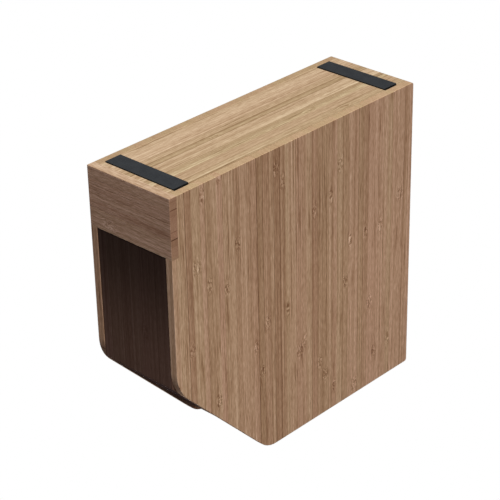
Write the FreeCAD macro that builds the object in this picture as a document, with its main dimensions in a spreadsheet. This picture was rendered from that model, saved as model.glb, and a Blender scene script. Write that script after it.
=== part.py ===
"""Slim bamboo knife block: two side panels around a dark laminated core with slanted slots.

Frame: +Z up, front towards -Y, width along X, origin under the middle of the rubber feet.
Lengths are millimetres. Profiles are drawn on the YZ plane, with Z measured from the
underside of the wood; each body's Placement then lifts it onto the feet.
"""
import FreeCAD, Part
import os

import Sketcher

doc = FreeCAD.newDocument("KnifeBlock")

# ---------------------------------------------------------------- driving dimensions
DRIVING = {
    "block_depth": 240,          # front to back
    "block_width": 75,
    "block_height": 228.7,       # wood only, without the feet
    "front_height": 141.2,       # where the slanted face would meet the front
    "peak_setback": 85,          # front to the top edge of the slanted face
    "side_thickness": 5.8,
    "sill_height": 43.5,
    "sill_thickness": 6,
    "base_thickness": 12,
    "back_thickness": 8,
    "top_thickness": 8,
    "front_recess": 0.3,         # dark front panel behind the side panels' front edges
    "front_panel_thickness": 10,
    "corner_recess": 0.3,        # slotted face behind the side panels, at its front corner
    "peak_recess": 2.6,          # and at the peak, so that it falls away a little
    "rear_inset": 0.5,           # back panel behind the side panels' rear edges
    "slot_width": 5,
    "corner_radius": 30,         # side panel, front edge into slanted edge
    "peak_radius": 20,
    "rear_radius": 2,            # rear edges, at the top and at the bottom
    "outer_arris": 0.35,
    "inner_arris": 0.3,
    "panel_arris": 0.8,          # front panel, where it meets the slotted face
    "lower_slot_start": 20,      # places along the slanted face, up from its front corner
    "lower_slot_end": 53,
    "upper_slot_start": 62,
    "upper_slot_end": 110,
    "foot_length": 61.8,
    "foot_width": 13.4,
    "foot_proud": 1,
    "foot_sunk": 1,
    "foot_arris": 0.3,
    "foot_front_gap": 10,
    "foot_rear_gap": 11,
}

# Cells worked out from the driving ones. slant_ cells describe the side panels' slanted
# edges, and face_ cells the slotted face between them. Places along the face become points
# by (front_y + along * face_step_y, face_z + along * face_step_z); blades run down its normal.
DERIVED = {
    "front_y": "-block_depth / 2",
    "rear_y": "block_depth / 2",
    "slant_rise": "block_height - front_height",
    "slant_length": "sqrt(peak_setback ^ 2 + slant_rise ^ 2)",
    "slant_y": "peak_setback / slant_length",
    "peak_y": "front_y + peak_setback",
    "face_z": "front_height - corner_recess / slant_y",
    "face_rise": "block_height - peak_recess / slant_y - face_z",
    "face_length": "sqrt(peak_setback ^ 2 + face_rise ^ 2)",
    "face_step_y": "peak_setback / face_length",
    "face_step_z": "face_rise / face_length",
    "face_slope": "face_rise / peak_setback",
    "inner_width": "block_width - 2 * side_thickness",
    "sill_back_y": "front_y + sill_thickness",
    "panel_front_y": "front_y + front_recess",
    "panel_back_y": "panel_front_y + front_panel_thickness",
    "panel_front_z": "face_z + (panel_front_y - front_y) * face_slope",
    "panel_back_z": "face_z + (panel_back_y - front_y) * face_slope",
    "back_front_y": "rear_y - rear_inset - back_thickness",
    "back_rear_y": "rear_y - rear_inset",
    "top_under_z": "block_height - top_thickness",
    "top_front_y": "front_y + (top_under_z - face_z) / face_slope",
    "top_peak_y": "front_y + (block_height - face_z) / face_slope",
    "lamination_pitch": "inner_width / 3",
    "outer_board_thickness": "(lamination_pitch - slot_width) / 2",
    "inner_board_thickness": "lamination_pitch - slot_width",
    "front_groove_y": "front_y + foot_front_gap",
    "front_groove_end_y": "front_groove_y + foot_width",
    "rear_groove_end_y": "rear_y - foot_rear_gap",
    "rear_groove_y": "rear_groove_end_y - foot_width",
    "foot_height": "foot_proud + foot_sunk",
}

SLOT_EDGES = ("lower_slot_start", "lower_slot_end", "upper_slot_start", "upper_slot_end")
for edge_name in SLOT_EDGES:
    DERIVED[edge_name + "_y"] = f"front_y + {edge_name} * face_step_y"
    DERIVED[edge_name + "_z"] = f"face_z + {edge_name} * face_step_z"
# Where the first three slot edges, followed down the normal, reach the base board,
# and where the fourth one reaches the back panel.
for edge_name in SLOT_EDGES[:3]:
    DERIVED[edge_name + "_base_y"] = (
        f"{edge_name}_y + ({edge_name}_z - base_thickness) * face_slope")
DERIVED["upper_slot_end_back_z"] = (
    "upper_slot_end_z - (back_front_y - upper_slot_end_y) / face_slope")

sheet = doc.addObject("Spreadsheet::Sheet", "Dims")


def write_cell(row, name, content):
    """Put one named value on the sheet."""
    sheet.set(f"A{row}", name)
    sheet.set(f"B{row}", content)
    sheet.setAlias(f"B{row}", name)


for row, (name, value) in enumerate(DRIVING.items(), start=1):
    write_cell(row, name, str(value))
doc.recompute()
for row, (name, formula) in enumerate(DERIVED.items(), start=len(DRIVING) + 1):
    write_cell(row, name, "=" + formula)
doc.recompute()


def dim(name):
    """The present value of one cell, as a plain number."""
    return float(getattr(sheet, name))


# ---------------------------------------------------------------- modelling helpers
TOUCH = 0.01                     # edges this close to a place are taken to lie on it
VOLUME_SLACK = 0.01              # share by which a pocket may miss the volume it should take


def new_body(label, x=None):
    """A PartDesign body lifted onto the feet, and placed by an expression at X = x."""
    body = doc.addObject("PartDesign::Body", label)
    body.Label = label
    if x:
        body.setExpression("Placement.Base.x", x)
    body.setExpression("Placement.Base.z", "Dims.foot_proud")
    return body


def origin_plane(body, role):
    """One of the body's own origin planes."""
    return next(f for f in body.Origin.OriginFeatures if f.Role == role)


def bind_point(sketch, geometry, position, cell_u, cell_v, tag):
    """Dimension one sketch point from the axes and bind it to two cells."""
    for kind, cell in (("DistanceX", cell_u), ("DistanceY", cell_v)):
        if cell is None:
            sketch.addConstraint(
                Sketcher.Constraint("PointOnObject", geometry, position,
                                    -2 if kind == "DistanceX" else -1))
            continue
        name = f"{tag}{kind[-1]}"
        sketch.addConstraint(
            Sketcher.Constraint(kind, -1, 1, geometry, position, dim(cell)))
        sketch.renameConstraint(sketch.ConstraintCount - 1, name)
        sketch.setExpression(f"Constraints.{name}", f"Dims.{cell}")


def outline(body, name, role, cells):
    """A closed polygon on an origin plane; each corner is a pair of cells (None for zero)."""
    sketch = body.newObject("Sketcher::SketchObject", name)
    sketch.AttachmentSupport = (origin_plane(body, role), [""])
    sketch.MapMode = "FlatFace"
    corners = [FreeCAD.Vector(dim(u) if u else 0, dim(v) if v else 0, 0) for u, v in cells]
    count = len(corners)
    for i in range(count):
        sketch.addGeometry(Part.LineSegment(corners[i], corners[(i + 1) % count]), False)
    for i in range(count):
        sketch.addConstraint(Sketcher.Constraint("Coincident", i, 2, (i + 1) % count, 1))
    for i, (u, v) in enumerate(cells):
        bind_point(sketch, i, 1, u, v, f"P{i}")
    return sketch


def pad(body, sketch, name, length_cell, midplane=False):
    """Extrude a sketch by the length in a cell."""
    feature = body.newObject("PartDesign::Pad", name)
    feature.Profile = sketch
    feature.Midplane = midplane
    feature.setExpression("Length", f"Dims.{length_cell}")
    sketch.Visibility = False
    doc.recompute()
    return feature


def edge_names(shape, wanted):
    """Names of the edges for which wanted(edge) holds."""
    return [f"Edge{i}" for i, edge in enumerate(shape.Edges, start=1) if wanted(edge)]


def along_x(edge, y, z):
    """True for an edge parallel to X at the given Y and Z."""
    box = edge.BoundBox
    return (abs(box.YMin - y) < TOUCH and abs(box.YMax - y) < TOUCH
            and abs(box.ZMin - z) < TOUCH and abs(box.ZMax - z) < TOUCH)


def in_plane_x(edge, x):
    """True for an edge that lies in the plane X = x."""
    return abs(edge.BoundBox.XMin - x) < TOUCH and abs(edge.BoundBox.XMax - x) < TOUCH


def fillet(body, base, name, edges, radius_cell):
    """Round the named edges of the last feature."""
    feature = body.newObject("PartDesign::Fillet", name)
    feature.Base = (base, edges)
    feature.setExpression("Radius", f"Dims.{radius_cell}")
    doc.recompute()
    return feature


# ---------------------------------------------------------------- sub-parts
def side_panel(label, x, outer_x):
    """A bamboo side: notched for the sill, rounded at its corners and arrises.

    outer_x is the local X of the face that shows; the pad runs from 0 to side_thickness.
    """
    body = new_body(label, x)
    profile = outline(body, label + "_profile", "YZ_Plane", [
        ("sill_back_y", None),
        ("sill_back_y", "sill_height"),
        ("front_y", "sill_height"),
        ("front_y", "front_height"),
        ("peak_y", "block_height"),
        ("rear_y", "block_height"),
        ("rear_y", None),
    ])
    feature = pad(body, profile, label + "_pad", "side_thickness")
    corners = (
        ("corner", "corner_radius", dim("front_y"), dim("front_height")),
        ("peak", "peak_radius", dim("peak_y"), dim("block_height")),
        ("rear", "rear_radius", dim("rear_y"), dim("block_height")),
        ("heel", "rear_radius", dim("rear_y"), 0),
    )
    for tag, radius, y, z in corners:
        edges = edge_names(feature.Shape, lambda e: along_x(e, y, z))
        feature = fillet(body, feature, f"{label}_{tag}", edges, radius)
    sill_y, sill_z = dim("sill_back_y"), dim("sill_height")

    def in_notch(edge):
        """Edges of the notch that the sill fills stay sharp."""
        return edge.BoundBox.YMax < sill_y + TOUCH and edge.BoundBox.ZMax < sill_z + TOUCH

    outer = edge_names(feature.Shape, lambda e: in_plane_x(e, outer_x) and not in_notch(e))
    feature = fillet(body, feature, label + "_outer_arris", outer, "outer_arris")
    inner_x = dim("side_thickness") - outer_x
    inner = edge_names(feature.Shape,
                       lambda e: in_plane_x(e, inner_x) and not in_notch(e)
                       and e.BoundBox.ZMin > sill_z - TOUCH
                       and e.BoundBox.YMax < dim("rear_y") - dim("rear_radius") - TOUCH)
    return fillet(body, feature, label + "_inner_arris", inner, "inner_arris")


def front_sill():
    """The bamboo board across the foot of the front; its ends show at both sides."""
    body = new_body("front_sill")
    profile = outline(body, "front_sill_profile", "YZ_Plane", [
        ("front_y", None),
        ("sill_back_y", None),
        ("sill_back_y", "sill_height"),
        ("front_y", "sill_height"),
    ])
    feature = pad(body, profile, "front_sill_pad", "block_width", midplane=True)
    front_y, half_width = dim("front_y"), dim("block_width") / 2

    def shows(edge):
        """All round the front face, and the foot edges of both ends."""
        box = edge.BoundBox
        at_end = abs(abs(box.Center.x) - half_width) < TOUCH
        return box.YMax < front_y + TOUCH or (at_end and box.ZMax < TOUCH)

    fillet(body, feature, "front_sill_arris", edge_names(feature.Shape, shows), "outer_arris")


def base_board():
    """The bottom between the side panels, with a full-width groove for each foot."""
    body = new_body("base_board")
    profile = outline(body, "base_board_profile", "YZ_Plane", [
        ("sill_back_y", None),
        ("rear_y", None),
        ("rear_y", "base_thickness"),
        ("sill_back_y", "base_thickness"),
    ])
    feature = pad(body, profile, "base_board_pad", "inner_width", midplane=True)
    y, z = dim("rear_y"), 0
    edges = edge_names(feature.Shape, lambda e: along_x(e, y, z))
    fillet(body, feature, "base_board_heel", edges, "rear_radius")
    for place in ("front", "rear"):
        foot_groove(body, place)


def foot_groove(body, place):
    """Cut one groove across the underside, and check that it took the wood it should."""
    name = f"{place}_foot_groove"
    before = body.Shape.Volume
    section = outline(body, name + "_section", "YZ_Plane", [
        (f"{place}_groove_y", None),
        (f"{place}_groove_end_y", None),
        (f"{place}_groove_end_y", "foot_sunk"),
        (f"{place}_groove_y", "foot_sunk"),
    ])
    pocket = body.newObject("PartDesign::Pocket", name)
    pocket.Profile = section
    pocket.Midplane = True
    pocket.setExpression("Length", "Dims.inner_width")
    section.Visibility = False
    doc.recompute()
    removed = before - body.Shape.Volume
    expected = dim("inner_width") * dim("foot_width") * dim("foot_sunk")
    if abs(removed - expected) > VOLUME_SLACK * expected:
        raise RuntimeError(f"{name} removed {removed:.1f} mm3, not {expected:.1f}")


def prism(label, cells, thickness_cell, x=None, midplane=False):
    """A flat board of the given outline, laid parallel to the side panels."""
    body = new_body(label, x)
    profile = outline(body, label + "_profile", "YZ_Plane", cells)
    return body, pad(body, profile, label + "_pad", thickness_cell, midplane)


def back_panel():
    """The bamboo back, standing on the base board between the side panels."""
    prism("back_panel", [
        ("back_front_y", "base_thickness"),
        ("back_rear_y", "base_thickness"),
        ("back_rear_y", "top_under_z"),
        ("back_front_y", "top_under_z"),
    ], "inner_width", midplane=True)


def top_board():
    """The bamboo top, with its front edge planed to the slant and rounded at the peak."""
    body, feature = prism("top_board", [
        ("top_front_y", "top_under_z"),
        ("rear_y", "top_under_z"),
        ("rear_y", "block_height"),
        ("top_peak_y", "block_height"),
    ], "inner_width", midplane=True)
    y, z = dim("top_peak_y"), dim("block_height")
    edges = edge_names(feature.Shape, lambda e: along_x(e, y, z))
    feature = fillet(body, feature, "top_board_peak", edges, "peak_radius")
    y = dim("rear_y")
    edges = edge_names(feature.Shape, lambda e: along_x(e, y, z))
    fillet(body, feature, "top_board_rear", edges, "rear_radius")


def front_panel():
    """The dark upright panel above the sill, rebated behind it, cut to the slant on top."""
    body, feature = prism("front_panel", [
        ("sill_back_y", "base_thickness"),
        ("sill_back_y", "sill_height"),
        ("panel_front_y", "sill_height"),
        ("panel_front_y", "panel_front_z"),
        ("panel_back_y", "panel_back_z"),
        ("panel_back_y", "base_thickness"),
    ], "inner_width", midplane=True)
    y, z = dim("panel_front_y"), dim("panel_front_z")
    edges = edge_names(feature.Shape, lambda e: along_x(e, y, z))
    fillet(body, feature, "front_panel_arris", edges, "panel_arris")


def core_board(label, x, thickness_cell):
    """One dark lamination of the core, from the front panel to the back panel."""
    prism(label, [
        ("panel_back_y", "base_thickness"),
        ("panel_back_y", "panel_back_z"),
        ("top_front_y", "top_under_z"),
        ("back_front_y", "top_under_z"),
        ("back_front_y", "base_thickness"),
    ], thickness_cell, x)


def spacers(place, x):
    """The three pieces that leave two slanted slots between a pair of core boards."""
    prism("spacer_lower_" + place, [
        ("panel_back_y", "base_thickness"),
        ("panel_back_y", "panel_back_z"),
        ("lower_slot_start_y", "lower_slot_start_z"),
        ("lower_slot_start_base_y", "base_thickness"),
    ], "slot_width", x)
    prism("spacer_middle_" + place, [
        ("lower_slot_end_y", "lower_slot_end_z"),
        ("upper_slot_start_y", "upper_slot_start_z"),
        ("upper_slot_start_base_y", "base_thickness"),
        ("lower_slot_end_base_y", "base_thickness"),
    ], "slot_width", x)
    prism("spacer_upper_" + place, [
        ("upper_slot_end_y", "upper_slot_end_z"),
        ("top_front_y", "top_under_z"),
        ("back_front_y", "top_under_z"),
        ("back_front_y", "upper_slot_end_back_z"),
    ], "slot_width", x)


def rubber_foot(label, groove_cell):
    """A black rubber strip, partly sunk in its groove and proud of the wood."""
    box = doc.addObject("Part::Box", label + "_strip")
    box.setExpression("Length", "Dims.foot_length")
    box.setExpression("Width", "Dims.foot_width")
    box.setExpression("Height", "Dims.foot_height")
    box.setExpression("Placement.Base.x", "-Dims.foot_length / 2")
    box.setExpression("Placement.Base.y", f"Dims.{groove_cell}")
    doc.recompute()
    rounded = doc.addObject("Part::Fillet", label)
    rounded.Label = label
    rounded.Base = box
    radius = dim("foot_arris")
    top = dim("foot_height")
    rounded.Edges = [(i, radius, radius) for i, edge in enumerate(box.Shape.Edges, start=1)
                     if edge.BoundBox.ZMin < top - TOUCH]
    box.Visibility = False


side_panel("side_panel_left", "-Dims.block_width / 2", 0)
side_panel("side_panel_right", "Dims.inner_width / 2", dim("side_thickness"))
front_sill()
base_board()
back_panel()
top_board()
front_panel()

PITCH, OUTER, SLOT = "Dims.lamination_pitch", "Dims.outer_board_thickness", "Dims.slot_width"
LEFT_WALL = "-Dims.inner_width / 2"
core_board("core_board_left", LEFT_WALL, "outer_board_thickness")
core_board("core_board_mid_left", f"{LEFT_WALL} + {OUTER} + {SLOT}", "inner_board_thickness")
core_board("core_board_mid_right", f"{LEFT_WALL} + {PITCH} + {OUTER} + {SLOT}",
           "inner_board_thickness")
core_board("core_board_right", f"{LEFT_WALL} + 2 * {PITCH} + {OUTER} + {SLOT}",
           "outer_board_thickness")
for column, place in enumerate(("left", "centre", "right")):
    spacers(place, f"{LEFT_WALL} + {column} * {PITCH} + {OUTER}")

rubber_foot("rubber_foot_front", "front_groove_y")
rubber_foot("rubber_foot_rear", "rear_groove_y")

doc.recompute()


# ---------------------------------------------------------------- checks and export
def sub_parts():
    """Every finished piece: the bodies and the rounded feet."""
    return [o for o in doc.Objects if o.TypeId in ("PartDesign::Body", "Part::Fillet")]


for item in doc.Objects:
    if "Invalid" in item.State or "Error" in item.State:
        raise RuntimeError(f"{item.Label} did not compute: {item.State}")
for item in sub_parts():
    if item.Shape.isNull() or not item.Shape.isValid():
        raise RuntimeError(f"{item.Label} has no valid shape")

os.makedirs("parts", exist_ok=True)
for item in sub_parts():
    item.Shape.exportStep(f"parts/{item.Label}.step")
    box = item.Shape.optimalBoundingBox()
    print(f"{item.Label:22s} {len(item.Shape.Solids)} solid  {item.Shape.Volume / 1000:8.2f} cm3  "
          f"X {box.XMin:7.2f} {box.XMax:7.2f}  Y {box.YMin:7.2f} {box.YMax:7.2f}  "
          f"Z {box.ZMin:7.2f} {box.ZMax:7.2f}")
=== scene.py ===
"""Looks for the slim bamboo knife block: strip-laminated bamboo, dark stained wood and rubber.

The block stands upright in the frame. The camera sees it from in front, from its left and
from below, and is held upside down, as if the block were turned over to show its feet.
"""

import math
from collections import namedtuple

import bpy
from mathutils import Matrix, Vector

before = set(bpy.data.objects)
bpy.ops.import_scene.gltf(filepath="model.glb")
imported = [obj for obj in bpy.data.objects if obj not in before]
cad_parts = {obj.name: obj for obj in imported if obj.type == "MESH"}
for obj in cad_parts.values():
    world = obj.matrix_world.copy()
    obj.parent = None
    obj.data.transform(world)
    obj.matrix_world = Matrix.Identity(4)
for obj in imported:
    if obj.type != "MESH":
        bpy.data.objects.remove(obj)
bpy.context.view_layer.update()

MM_PER_METRE = 1000

# ------------------------------------------------------------------ camera
CAMERA_AZIMUTH = 43.68       # degrees from +Y towards +X, the way the camera looks
CAMERA_RISE = 28.46          # degrees that it looks upwards
CAMERA_ROLL = -1.24          # degrees, on top of being upside down
CAMERA_DISTANCE = 1.182
CAMERA_LENS = 128.6          # millimetres
CAMERA_SENSOR = 36           # millimetres
CAMERA_AIM = Vector((-0.03097, -0.04238, 0.07043))


def place_camera():
    """The viewing camera, upside down, in front of the block and below it."""
    data = bpy.data.cameras.new("camera")
    data.sensor_width = CAMERA_SENSOR
    data.lens = CAMERA_LENS
    camera = bpy.data.objects.new("camera", data)
    bpy.context.scene.collection.objects.link(camera)
    turned = (Matrix.Rotation(-math.radians(CAMERA_AZIMUTH), 3, "Z")
              @ Matrix.Rotation(math.radians(90 + CAMERA_RISE), 3, "X")
              @ Matrix.Rotation(math.radians(180 + CAMERA_ROLL), 3, "Z"))
    backwards = turned @ Vector((0, 0, 1))
    place = CAMERA_AIM + backwards * CAMERA_DISTANCE
    camera.matrix_world = Matrix.Translation(place) @ turned.to_4x4()
    bpy.context.scene.camera = camera


# ------------------------------------------------------------------ light
WHITE = (1.0, 1.0, 1.0)
SKY = (0.90, 0.97, 1.30)     # the colour of what the surroundings add to every surface
AMBIENT = 0.05               # and its strength
LIGHT_AIM = Vector((0, 0, 0.11))


def softbox(name, place, size, watts, mirrored=True):
    """A square area light that faces the middle of the block; mirrored says if gloss shows it."""
    data = bpy.data.lights.new(name, "AREA")
    data.size = size
    data.energy = watts
    light = bpy.data.objects.new(name, data)
    bpy.context.scene.collection.objects.link(light)
    light.location = place
    light.visible_glossy = mirrored
    light.rotation_euler = (LIGHT_AIM - Vector(place)).to_track_quat("-Z", "Y").to_euler()


def white_world():
    """Pure white behind the block, with a weaker and cooler light of its own on the block."""
    world = bpy.data.worlds.new("studio")
    world.use_nodes = True
    bpy.context.scene.world = world
    tree = world.node_tree
    seen = tree.nodes["Background"]
    seen.inputs["Color"].default_value = (*WHITE, 1)
    lighting = tree.nodes.new("ShaderNodeBackground")
    lighting.inputs["Color"].default_value = (*SKY, 1)
    lighting.inputs["Strength"].default_value = AMBIENT
    path = tree.nodes.new("ShaderNodeLightPath")
    choice = tree.nodes.new("ShaderNodeMixShader")
    tree.links.new(path.outputs["Is Camera Ray"], choice.inputs["Fac"])
    tree.links.new(lighting.outputs[0], choice.inputs[1])
    tree.links.new(seen.outputs[0], choice.inputs[2])
    tree.links.new(choice.outputs[0], tree.nodes["World Output"].inputs["Surface"])


def light_studio():
    """One large soft light from below; two small ones above matter only to views from above."""
    white_world()
    softbox("key", place=(-3.71, -1.68, -5.86), size=4.16, watts=527)
    softbox("far_side", place=(0.95, 0.98, 0.85), size=0.8, watts=20, mirrored=False)
    softbox("above", place=(0.5, 0.5, 1.6), size=1.2, watts=26, mirrored=False)
    bpy.context.scene.view_settings.view_transform = "Standard"


# ------------------------------------------------------------------ shader helpers
class Graph:
    """One material's nodes, with short calls for the few kinds used here."""

    def __init__(self, name):
        self.material = bpy.data.materials.new(name)
        self.material.use_nodes = True
        self.tree = self.material.node_tree
        self.shader = self.tree.nodes["Principled BSDF"]

    def node(self, kind, **settings):
        """A new node with the given properties."""
        made = self.tree.nodes.new("ShaderNode" + kind)
        for key, value in settings.items():
            setattr(made, key, value)
        return made

    def feed(self, socket, value):
        """Link another node's output, or set a plain value."""
        if isinstance(value, bpy.types.NodeSocket):
            self.tree.links.new(value, socket)
        else:
            socket.default_value = value

    def math(self, operation, *values, clamp=False):
        """One step of arithmetic."""
        made = self.node("Math", operation=operation, use_clamp=clamp)
        for socket, value in zip(made.inputs, values):
            self.feed(socket, value)
        return made.outputs[0]

    def product(self, *values):
        """All the values multiplied together."""
        total = values[0]
        for value in values[1:]:
            total = self.math("MULTIPLY", total, value)
        return total

    def vector_math(self, operation, first, second):
        """One step of arithmetic on two vectors or colours."""
        made = self.node("VectorMath", operation=operation)
        self.feed(made.inputs[0], first)
        self.feed(made.inputs[1], second)
        return made.outputs[0]

    def join(self, x, y, z):
        """A vector from three numbers."""
        made = self.node("CombineXYZ")
        for socket, value in zip(made.inputs, (x, y, z)):
            self.feed(socket, value)
        return made.outputs[0]

    def split(self, vector):
        """The three numbers in a vector or a colour."""
        made = self.node("SeparateXYZ")
        self.feed(made.inputs[0], vector)
        return made.outputs

    def place_mm(self):
        """The point on the object, in millimetres."""
        return self.scaled(self.node("TexCoord").outputs["Object"], MM_PER_METRE)

    def normal(self):
        """The direction that the surface faces, by axis."""
        return dict(zip("XYZ", self.split(self.node("NewGeometry").outputs["Normal"])))

    def noise(self, vector, detail=2.0, roughness=0.5, distortion=0.0):
        """Smooth noise, near 0.5, at one bump per unit of the vector."""
        made = self.node("TexNoise", noise_dimensions="3D")
        self.feed(made.inputs["Vector"], vector)
        made.inputs["Scale"].default_value = 1.0
        made.inputs["Detail"].default_value = detail
        made.inputs["Roughness"].default_value = roughness
        made.inputs["Distortion"].default_value = distortion
        return made.outputs["Fac"]

    def line_noise(self, value):
        """Smooth noise along one number."""
        made = self.node("TexNoise", noise_dimensions="1D")
        self.feed(made.inputs["W"], value)
        made.inputs["Scale"].default_value = 1.0
        made.inputs["Detail"].default_value = 1.0
        return made.outputs["Fac"]

    def chance(self, value):
        """Three unrelated numbers from 0 to 1 for each value."""
        made = self.node("TexWhiteNoise", noise_dimensions="1D")
        self.feed(made.inputs["W"], value)
        return self.split(made.outputs["Color"])

    def bell(self, *distances):
        """1 where every distance is zero, falling smoothly to 0 past about 2."""
        total = 0.0
        for distance in distances:
            total = self.math("ADD", total, self.math("MULTIPLY", distance, distance))
        return self.math("EXPONENT", self.math("MULTIPLY", total, -1.0))

    def spread(self, value, amount, middle=1.0):
        """A noise value turned into one round the middle: middle + (value - 0.5) * amount."""
        return self.math("MULTIPLY_ADD", value, amount, middle - 0.5 * amount)

    def factor(self, amount, full):
        """A factor that is 1 where the amount is 0, and full where the amount is 1."""
        return self.math("MULTIPLY_ADD", amount, full - 1.0, 1.0)

    def weaken(self, factor, share):
        """A factor brought nearer to 1, or further from it if the share is above 1."""
        return self.math("MULTIPLY_ADD", self.math("SUBTRACT", factor, 1.0), share, 1.0)

    def between(self, value, low, high, at_low, at_high):
        """A smooth step from at_low to at_high as the value goes from low to high."""
        made = self.node("MapRange", interpolation_type="SMOOTHSTEP")
        for socket, number in zip(made.inputs, (value, low, high, at_low, at_high)):
            self.feed(socket, number)
        return made.outputs[0]

    def crisp(self, value, gain):
        """Noise with its slopes made steeper, so that it reads as separate lines."""
        return self.math("MULTIPLY_ADD", value, gain, 0.5 - 0.5 * gain, clamp=True)

    def ramp(self, value, stops):
        """A colour chosen along (position, colour) stops."""
        made = self.node("ValToRGB")
        elements = made.color_ramp.elements
        while len(elements) < len(stops):
            elements.new(1.0)
        for element, (position, colour) in zip(elements, stops):
            element.position = position
            element.color = (*colour, 1)
        self.feed(made.inputs[0], value)
        return made.outputs[0]

    def scaled(self, vector, factor):
        """A vector or a colour multiplied by one number."""
        made = self.node("VectorMath", operation="SCALE")
        self.feed(made.inputs[0], vector)
        self.feed(made.inputs["Scale"], factor)
        return made.outputs[0]

    def finish(self, colour, roughness, height, bump_depth, gloss):
        """Feed the main shader; bump_depth is in metres, for a height of 1."""
        self.shader.inputs["Specular IOR Level"].default_value = gloss
        bump = self.node("Bump")
        bump.inputs["Distance"].default_value = bump_depth
        self.feed(bump.inputs["Height"], height)
        self.feed(self.shader.inputs["Base Color"], colour)
        self.feed(self.shader.inputs["Roughness"], roughness)
        self.feed(self.shader.inputs["Normal"], bump.outputs["Normal"])
        return self.material


# ------------------------------------------------------------------ wood: looks
# Each look names its wood and says how much every part of the pattern changes the tone.
# Widths and spacings are in millimetres, and bump_depth is in metres.
BAMBOO = {
    "wood": "bamboo",
    "colour": (0.640, 0.400, 0.248),
    "strip_width": 5.4,
    "strip_tone": 0.36,
    "strip_hue": 0.035,
    "cluster_tone": 0.06,
    "band": 0.44,
    "line": 0.40,
    "thread": 0.72,
    "fibre": 1.25,
    "vessel": 0.52,
    "seam": 0.70,
    "node_spacing": 320,
    "node_dark": 0.50,
    "node_pale": 0.42,
    "roughness": 0.48,
    "gloss": 0.35,
    "bump_depth": 0.00012,
}
BASE_BAMBOO = {**BAMBOO, "strip_tone": 0.60, "fibre": 1.0, "node_dark": 0.26, "node_pale": 0.12}
SILL_BAMBOO = {**BAMBOO, "strip_tone": 0.05, "strip_hue": 0.03, "cluster_tone": 0.02, "band": 0.14,
               "line": 0.46, "thread": 0.66, "fibre": 1.4, "vessel": 0.50, "seam": 0.28,
               "node_dark": 0.40, "gloss": 0.18}
STAINED = {
    "wood": "stained",
    "colour": (0.093, 0.048, 0.034),
    "strip_width": 7.5,
    "strip_tone": 0.04,
    "strip_hue": 0.03,
    "cluster_tone": 0.05,
    "band": 0.80,
    "line": 0.36,
    "thread": 0.32,
    "fibre": 0.90,
    "vessel": 0.20,
    "seam": 0.10,
    "node_spacing": 900,
    "node_dark": 0.35,
    "node_pale": 0.12,
    "roughness": 0.52,
    "gloss": 0.09,
    "bump_depth": 0.00006,
}

# Layers of the grain. run and pitch: a bump's length along the grain and its width across it,
# in millimetres. gain: how crisp its lines are, where 1 leaves the noise soft.
Layer = namedtuple("Layer", "run pitch gain detail distortion", defaults=(1.0, 1.0, 0.0))
BAND = Layer(420, 2.6)
LINE = Layer(300, 0.85, gain=2.0)
THREAD = Layer(150, 0.75)
FIBRE = Layer(5, 0.45)
VESSEL = Layer(160, 2.4)
VESSEL_SHOWS = Layer(30, 3.0, gain=5.0)
NODE_STROKE = Layer(2.4, 0.55, gain=5.0, detail=2.0, distortion=0.9)
WORN_AND_HIGHLIGHT = Layer(5, 1.2, gain=2.0)
GRAIN_ROUGHNESS = 0.55              # of the noise behind every layer
PATTERN_SPREAD = 50                 # how far apart the strips' own patterns lie in the noise

STRIP_DRIFT = 0.45                  # bumps per strip in the drift of the strips' width
CLUSTER_RATE = 0.06                 # bumps per millimetre in the tone of neighbouring strips
DARK_STRIPS = 2.2                   # above 1, dark strips are fewer than pale ones
DARK_SEAMS = 2.0                    # and the same for the glue lines
SEAM_WIDTH = 0.28
TONE_POWERS = (0.78, 1.0, 1.22)     # how far red, green and blue follow a change of tone

VESSEL_FINENESS = 26.0              # the higher, the thinner
NODE_LENGTH = 5.6                   # millimetres, half of a cane node's mark along the grain
NODE_WIDTH = 3.0
NODE_FILL = 1.7                     # above 1, the middle of the mark is at full strength
NODE_BULGE = 0.6                    # how far the fibres part round a node
CRACK_LENGTH = 13.0
CRACK_WIDTH = 0.35
CRACK_SPREAD = 3.0                  # the width within which the crack lies, about the middle
CRACK_SHARE = 0.5                   # how dark the crack is, as a share of node_dark

BARE_AND_LIT_BELOW = (1.15, 1.30, 1.26)           # the underside is taken as sanded bare, and so paler; this is also painted light, the brightness of faces lit from below
END_DETAIL = 0.45                   # how much of the fine grain shows where it is cut across
PAINTED_SHADE_HEIGHTS = (44, 134)                   # heights between which a board's tone runs from low to full: painted shade, darker towards the bottom
WORN_AND_HIGHLIGHT_TONE = 1.15                    # the outer edges are paler in places: rubbed wear, and a painted highlight where they catch the light
WORN_ROUGHNESS = 0.1                # and rougher
FIBRE_ROUGHNESS = 0.16
THREAD_RELIEF = 0.5                 # the height of the threads, against 1 for the fibres

# along: the axis the grain follows. across: the axis across the strips. tint: the board's own
# colour against its look's, which also makes up for how its face is lit in the main view.
# end_shade: how bright the cut ends are. end_share: how much of the difference between strips
# the cut ends show. low: the tone at the lower of the two shade heights set above, against 1 at
# the upper one; this is painted shade, darker towards the bottom of the board.
Board = namedtuple("Board", "along across tint end_shade end_share low", defaults=(1.0,))


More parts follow.
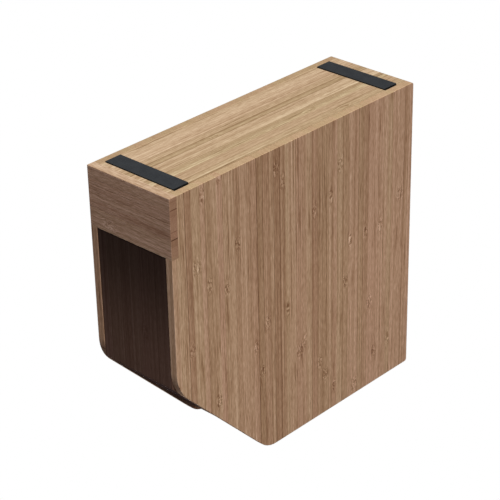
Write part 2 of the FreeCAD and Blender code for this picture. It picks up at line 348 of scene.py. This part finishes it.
# ------------------------------------------------------------------ wood: the material
class Wood(Graph):
    """Wood glued up from strips, in solid 3-D; every length is in millimetres."""

    def __init__(self, node, board, look, seed):
        super().__init__(f"{look['wood']}_{node}")
        self.board = board
        self.look = look
        self.by_axis = dict(zip("XYZ", self.split(self.place_mm())))
        through = next(axis for axis in "XYZ" if axis not in (board.along, board.across))
        self.length = self.by_axis[board.along]
        self.side = self.by_axis[board.across]
        self.depth = self.by_axis[through]
        self.facing = self.normal()
        self.lay_strips(seed)
        self.place_nodes()

    def lay_strips(self, seed):
        """Strips of uneven width; each has three random numbers of its own."""
        width = self.look["strip_width"]
        drift = self.line_noise(self.math("MULTIPLY_ADD", self.side, STRIP_DRIFT / width, seed))
        self.place = self.math("ADD", self.math("DIVIDE", self.side, width),
                               self.math("ADD", drift, seed))
        own = self.chance(self.math("FLOOR", self.place))
        self.tone, self.turned, self.shift = own
        self.offset = self.join(*(self.math("MULTIPLY", number, PATTERN_SPREAD) for number in own))
        self.clusters = self.line_noise(self.math("MULTIPLY_ADD", self.side, CLUSTER_RATE, seed))

    def place_nodes(self):
        """Where the nodes of the cane are; the fibres part round them."""
        spacing = self.look["node_spacing"]
        width = self.look["strip_width"]
        turn = self.math("ADD", self.math("DIVIDE", self.length, spacing), self.shift)
        self.from_node = self.spread(self.math("FRACT", turn), spacing, middle=0.0)
        self.from_middle = self.spread(self.math("FRACT", self.place), width, middle=0.0)
        mark = self.bell(self.math("DIVIDE", self.from_node, NODE_LENGTH),
                         self.math("DIVIDE", self.from_middle, NODE_WIDTH))
        self.node_window = self.math("MULTIPLY", mark, NODE_FILL, clamp=True)
        bulge = self.product(self.node_window, self.from_middle, NODE_BULGE)
        self.parted = self.math("SUBTRACT", self.side, bulge)

    def grain(self, layer):
        """One layer's noise, stretched along the grain and different in every strip."""
        stretched = self.join(self.math("DIVIDE", self.length, layer.run),
                              self.math("DIVIDE", self.parted, layer.pitch),
                              self.math("DIVIDE", self.depth, layer.pitch))
        place = self.vector_math("ADD", stretched, self.offset)
        value = self.noise(place, layer.detail, GRAIN_ROUGHNESS, layer.distortion)
        return value if layer.gain == 1.0 else self.crisp(value, layer.gain)

    def strips(self):
        """Most strips are pale and a few much darker; so are the glue lines between them."""
        dark = self.math("POWER", self.tone, DARK_STRIPS)
        centred = self.math("SUBTRACT", dark, 1.0 / (DARK_STRIPS + 1.0))
        both = self.product(
            self.factor(centred, 1.0 - self.look["strip_tone"]),
            self.spread(self.clusters, self.look["cluster_tone"]),
            self.factor(self.seams(), 1.0 - self.look["seam"]),
        )
        return self.weaken(both, self.factor(self.cut_end(), self.board.end_share))

    def strip_hue(self):
        """Some strips lean to pink and some to yellow."""
        lean = self.spread(self.turned, self.look["strip_hue"], middle=0.0)
        pink = self.math("ADD", lean, 1.0)
        return self.join(pink, self.math("SUBTRACT", 1.0, lean), pink)

    def vessels(self):
        """Thin dark vessels that come and go, where a broad noise crosses its middle."""
        crossing = self.math("ABSOLUTE", self.math("SUBTRACT", self.grain(VESSEL), 0.5))
        line = self.math("MULTIPLY_ADD", crossing, -VESSEL_FINENESS, 1.0, clamp=True)
        shown = self.math("MULTIPLY", line, self.grain(VESSEL_SHOWS))
        return self.factor(shown, 1.0 - self.look["vessel"])

    def seams(self):
        """Glue lines between the strips, a few of them much darker than the rest."""
        chance = self.chance(self.math("ROUND", self.place))[0]
        distance = self.math("MULTIPLY", self.math("PINGPONG", self.place, 0.5),
                             self.look["strip_width"])
        line = self.bell(self.math("DIVIDE", distance, SEAM_WIDTH))
        return self.math("MULTIPLY", line, self.math("POWER", chance, DARK_SEAMS))

    def node_marks(self):
        """Dark and pale strokes side by side at each node, and a fine crack on through it."""
        dark, pale = self.look["node_dark"], self.look["node_pale"]
        change = self.math("MULTIPLY_ADD", self.grain(NODE_STROKE), -(dark + pale), pale)
        marked = self.math("MULTIPLY_ADD", self.node_window, change, 1.0)
        crack_place = self.spread(self.turned, CRACK_SPREAD, middle=0.0)
        off_crack = self.math("SUBTRACT", self.from_middle, crack_place)
        crack = self.bell(self.math("DIVIDE", off_crack, CRACK_WIDTH),
                          self.math("DIVIDE", self.from_node, CRACK_LENGTH))
        return self.math("MULTIPLY", marked, self.factor(crack, 1.0 - CRACK_SHARE * dark))

    def cut_end(self):
        """1 where the surface cuts straight across the grain, 0 along it."""
        return self.math("ABSOLUTE", self.facing[self.board.along])

    def bare_and_lit_below(self):
        """The colour factor where a face looks down, and 1 where it does not: bare wood, and
        painted light from below.
        """
        down = self.math("MULTIPLY", self.facing["Z"], -1.0, clamp=True)
        return self.join(*(self.factor(down, part) for part in BARE_AND_LIT_BELOW))

    def worn_and_highlight(self):
        """1 in places half way round an edge of the outer faces, 0 on every flat face: wear and
        painted highlight.
        """
        square = self.math("MULTIPLY", self.facing["X"], self.facing["X"])
        # square * (1 - square) is a quarter half way round the edge
        arris = self.product(square, self.math("SUBTRACT", 1.0, square), 4.0)
        return self.math("MULTIPLY", arris, self.grain(WORN_AND_HIGHLIGHT))

    def season(self, colour, tone):
        """Wood's own way of darkening: below 1 it turns redder, above 1 it turns creamier."""
        powers = [self.math("POWER", tone, power) for power in TONE_POWERS]
        return self.vector_math("MULTIPLY", colour, self.join(*powers))

    def build(self):
        """Put the parts together and feed the shader."""
        look = self.look
        threads = self.grain(THREAD)
        fibres = self.grain(FIBRE)
        detail = self.product(
            self.spread(self.grain(BAND), look["band"]),
            self.spread(self.grain(LINE), look["line"]),
            self.spread(threads, look["thread"]),
            self.spread(fibres, look["fibre"]),
            self.vessels(),
            self.node_marks(),
        )
        # Paler patches on the edges: rubbed wear, and also a painted highlight.
        worn_and_highlight = self.worn_and_highlight()
        tone = self.product(
            self.weaken(detail, self.factor(self.cut_end(), END_DETAIL)),
            self.strips(),
            self.factor(self.cut_end(), self.board.end_shade),
            self.factor(worn_and_highlight, WORN_AND_HIGHLIGHT_TONE),
        )
        base = [part * tint for part, tint in zip(look["colour"], self.board.tint)]
        hued = self.vector_math("MULTIPLY", self.strip_hue(), base)
        # Faces that look down are paler: bare wood, and also painted light from below.
        bared_and_lit = self.vector_math("MULTIPLY", hued, self.bare_and_lit_below())
        # Painted shade: the tone falls towards the bottom of the board, down to low at the sill's
        # height.
        painted_shade_fade = self.between(self.by_axis["Z"], *PAINTED_SHADE_HEIGHTS, self.board.low, 1.0)
        colour = self.scaled(self.season(bared_and_lit, tone), painted_shade_fade)
        relief = self.math("MULTIPLY_ADD", threads, THREAD_RELIEF, fibres)
        height = self.math("SUBTRACT", relief, self.seams())
        smooth = self.spread(fibres, FIBRE_ROUGHNESS, middle=look["roughness"])
        roughness = self.math("MULTIPLY_ADD", worn_and_highlight, WORN_ROUGHNESS, smooth)
        return self.finish(colour, roughness, height, look["bump_depth"], look["gloss"])


# ------------------------------------------------------------------ rubber
DULL_RUBBER = (0.041, 0.044, 0.047)
DUSTY_RUBBER = (0.055, 0.059, 0.063)
PEBBLE_RATE = 1.0            # bumps per millimetre
PEBBLE_TONE = 0.9
PEBBLE_DEPTH = 0.0001        # metres
DUST_RATE = 0.12             # bumps per millimetre
SHADED_RUBBER_SIDES = 0.15          # the tone of the sides, against 1 for the flat faces: painted shade round the foot
RUBBER_ROUGHNESS = 0.8
DUST_ROUGHNESS = 0.2
RUBBER_GLOSS = 0.2


def rubber(name):
    """Black moulded rubber with a fine pebble and dust, its sides darkened as painted shade."""
    graph = Graph(name)
    place = graph.place_mm()
    pebble = graph.noise(graph.scaled(place, PEBBLE_RATE), detail=3.0)
    dust = graph.noise(graph.scaled(place, DUST_RATE), detail=4.0, roughness=0.65)
    colour = graph.ramp(dust, ((0.35, DULL_RUBBER), (0.75, DUSTY_RUBBER)))
    # The sides of the foot are painted near black: painted shade round the foot.
    upright = graph.math("SUBTRACT", 1.0, graph.math("ABSOLUTE", graph.normal()["Z"]))
    tone = graph.product(graph.spread(pebble, PEBBLE_TONE), graph.factor(upright, SHADED_RUBBER_SIDES))
    roughness = graph.spread(dust, DUST_ROUGHNESS, middle=RUBBER_ROUGHNESS)
    return graph.finish(graph.scaled(colour, tone), roughness, pebble, PEBBLE_DEPTH, RUBBER_GLOSS)


# ------------------------------------------------------------------ floor
FLOOR_REACH = 6.0            # metres each way from the middle
FLOOR_GAP = 0.0003           # keeps the floor clear of the undersides of the feet
FLOOR_GREY = (0.78, 0.78, 0.77)
FLOOR_WHITE = (0.82, 0.82, 0.81)
MOTTLE_RATE = 3.0            # bumps per metre
FLOOR_ROUGHNESS = 0.65
MOTTLE_ROUGHNESS = 0.1


def pale_floor():
    """A pale floor that only a camera above it sees, so that it hides nothing from below."""
    mesh = bpy.data.meshes.new("floor")
    corners = [(x * FLOOR_REACH, y * FLOOR_REACH, -FLOOR_GAP)
               for x, y in ((-1, -1), (1, -1), (1, 1), (-1, 1))]
    mesh.from_pydata(corners, [], [(0, 1, 2, 3)])
    floor = bpy.data.objects.new("floor", mesh)
    bpy.context.scene.collection.objects.link(floor)
    floor.visible_diffuse = False
    floor.visible_glossy = False
    floor.visible_transmission = False
    floor.visible_shadow = False
    mesh.materials.append(one_sided_paint("pale_floor"))


def one_sided_paint(name):
    """Mottled pale paint, clear from behind."""
    graph = Graph(name)
    place = graph.node("TexCoord").outputs["Object"]
    mottle = graph.noise(graph.scaled(place, MOTTLE_RATE), detail=3.0)
    colour = graph.ramp(mottle, ((0.3, FLOOR_GREY), (0.7, FLOOR_WHITE)))
    roughness = graph.spread(mottle, MOTTLE_ROUGHNESS, middle=FLOOR_ROUGHNESS)
    graph.feed(graph.shader.inputs["Base Color"], colour)
    graph.feed(graph.shader.inputs["Roughness"], roughness)
    clear = graph.node("BsdfTransparent")
    sided = graph.node("MixShader")
    graph.feed(sided.inputs["Fac"], graph.node("NewGeometry").outputs["Backfacing"])
    graph.feed(sided.inputs[1], graph.shader.outputs[0])
    graph.feed(sided.inputs[2], clear.outputs[0])
    graph.feed(graph.tree.nodes["Material Output"].inputs["Surface"], sided.outputs[0])
    return graph.material


# ------------------------------------------------------------------ dressing the CAD nodes
NEAR_SIDE = Board(along="Z", across="Y", tint=(1.06, 1.02, 0.97), end_shade=0.97, end_share=0.25,
                  low=0.93)
# The far side is tinted darker than the near one as painted shade, for the light falling off
# towards it.
FAR_SIDE = NEAR_SIDE._replace(tint=(0.97, 0.93, 0.88))
SILL = Board(along="X", across="Z", tint=(0.98, 0.94, 0.98), end_shade=0.65, end_share=5.0)
BASE = Board(along="Y", across="X", tint=(0.96, 0.95, 0.92), end_shade=0.85, end_share=0.5)
BACK = Board(along="Z", across="X", tint=WHITE, end_shade=0.85, end_share=0.5)
TOP = Board(along="Y", across="X", tint=WHITE, end_shade=0.85, end_share=0.5)
# FRONT's low is painted shade, darkest next to the sill. FRONT's and CORE's low end_shade darkens
# their slanted faces: darker end grain, and also painted shade on the slotted face.
FRONT = Board(along="Z", across="X", tint=(1.76, 1.87, 1.81), end_shade=0.4, end_share=0.5,
              low=0.36)
CORE = Board(along="Z", across="Y", tint=WHITE, end_shade=0.6, end_share=0.5)

# Each has a seed of its own, which sets its run of strips. The left side's and the base's gave
# the likeness nearest the real strips, out of seven tried for each.
OUTER_BOARDS = {
    "side_panel_left": (NEAR_SIDE, BAMBOO, 81.2),
    "side_panel_right": (FAR_SIDE, BAMBOO, 95.5),
    "front_sill": (SILL, SILL_BAMBOO, 51.9),
    "base_board": (BASE, BASE_BAMBOO, 91.9),
    "back_panel": (BACK, BAMBOO, 86.5),
    "top_board": (TOP, BAMBOO, 103.8),
    "front_panel": (FRONT, STAINED, 5.1),
}
CORE_SEED_STEP = 7.7    # between the seeds of the pieces inside


def dress(node, material):
    """Give one CAD node its material."""
    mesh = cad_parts[node].data
    mesh.materials.clear()
    mesh.materials.append(material)


def dress_all():
    """Bamboo for the boards outside, stained wood for the panel and core, rubber for the feet."""
    for node, (board, look, seed) in OUTER_BOARDS.items():
        dress(node, Wood(node, board, look, seed).build())
    core = [name for name in sorted(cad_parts) if name.startswith(("core_", "spacer_"))]
    for number, node in enumerate(core, start=1):
        dress(node, Wood(node, CORE, STAINED, number * CORE_SEED_STEP).build())
    for place in ("front", "rear"):
        dress("rubber_foot_" + place, rubber("rubber_" + place))


place_camera()
light_studio()
pale_floor()
dress_all()
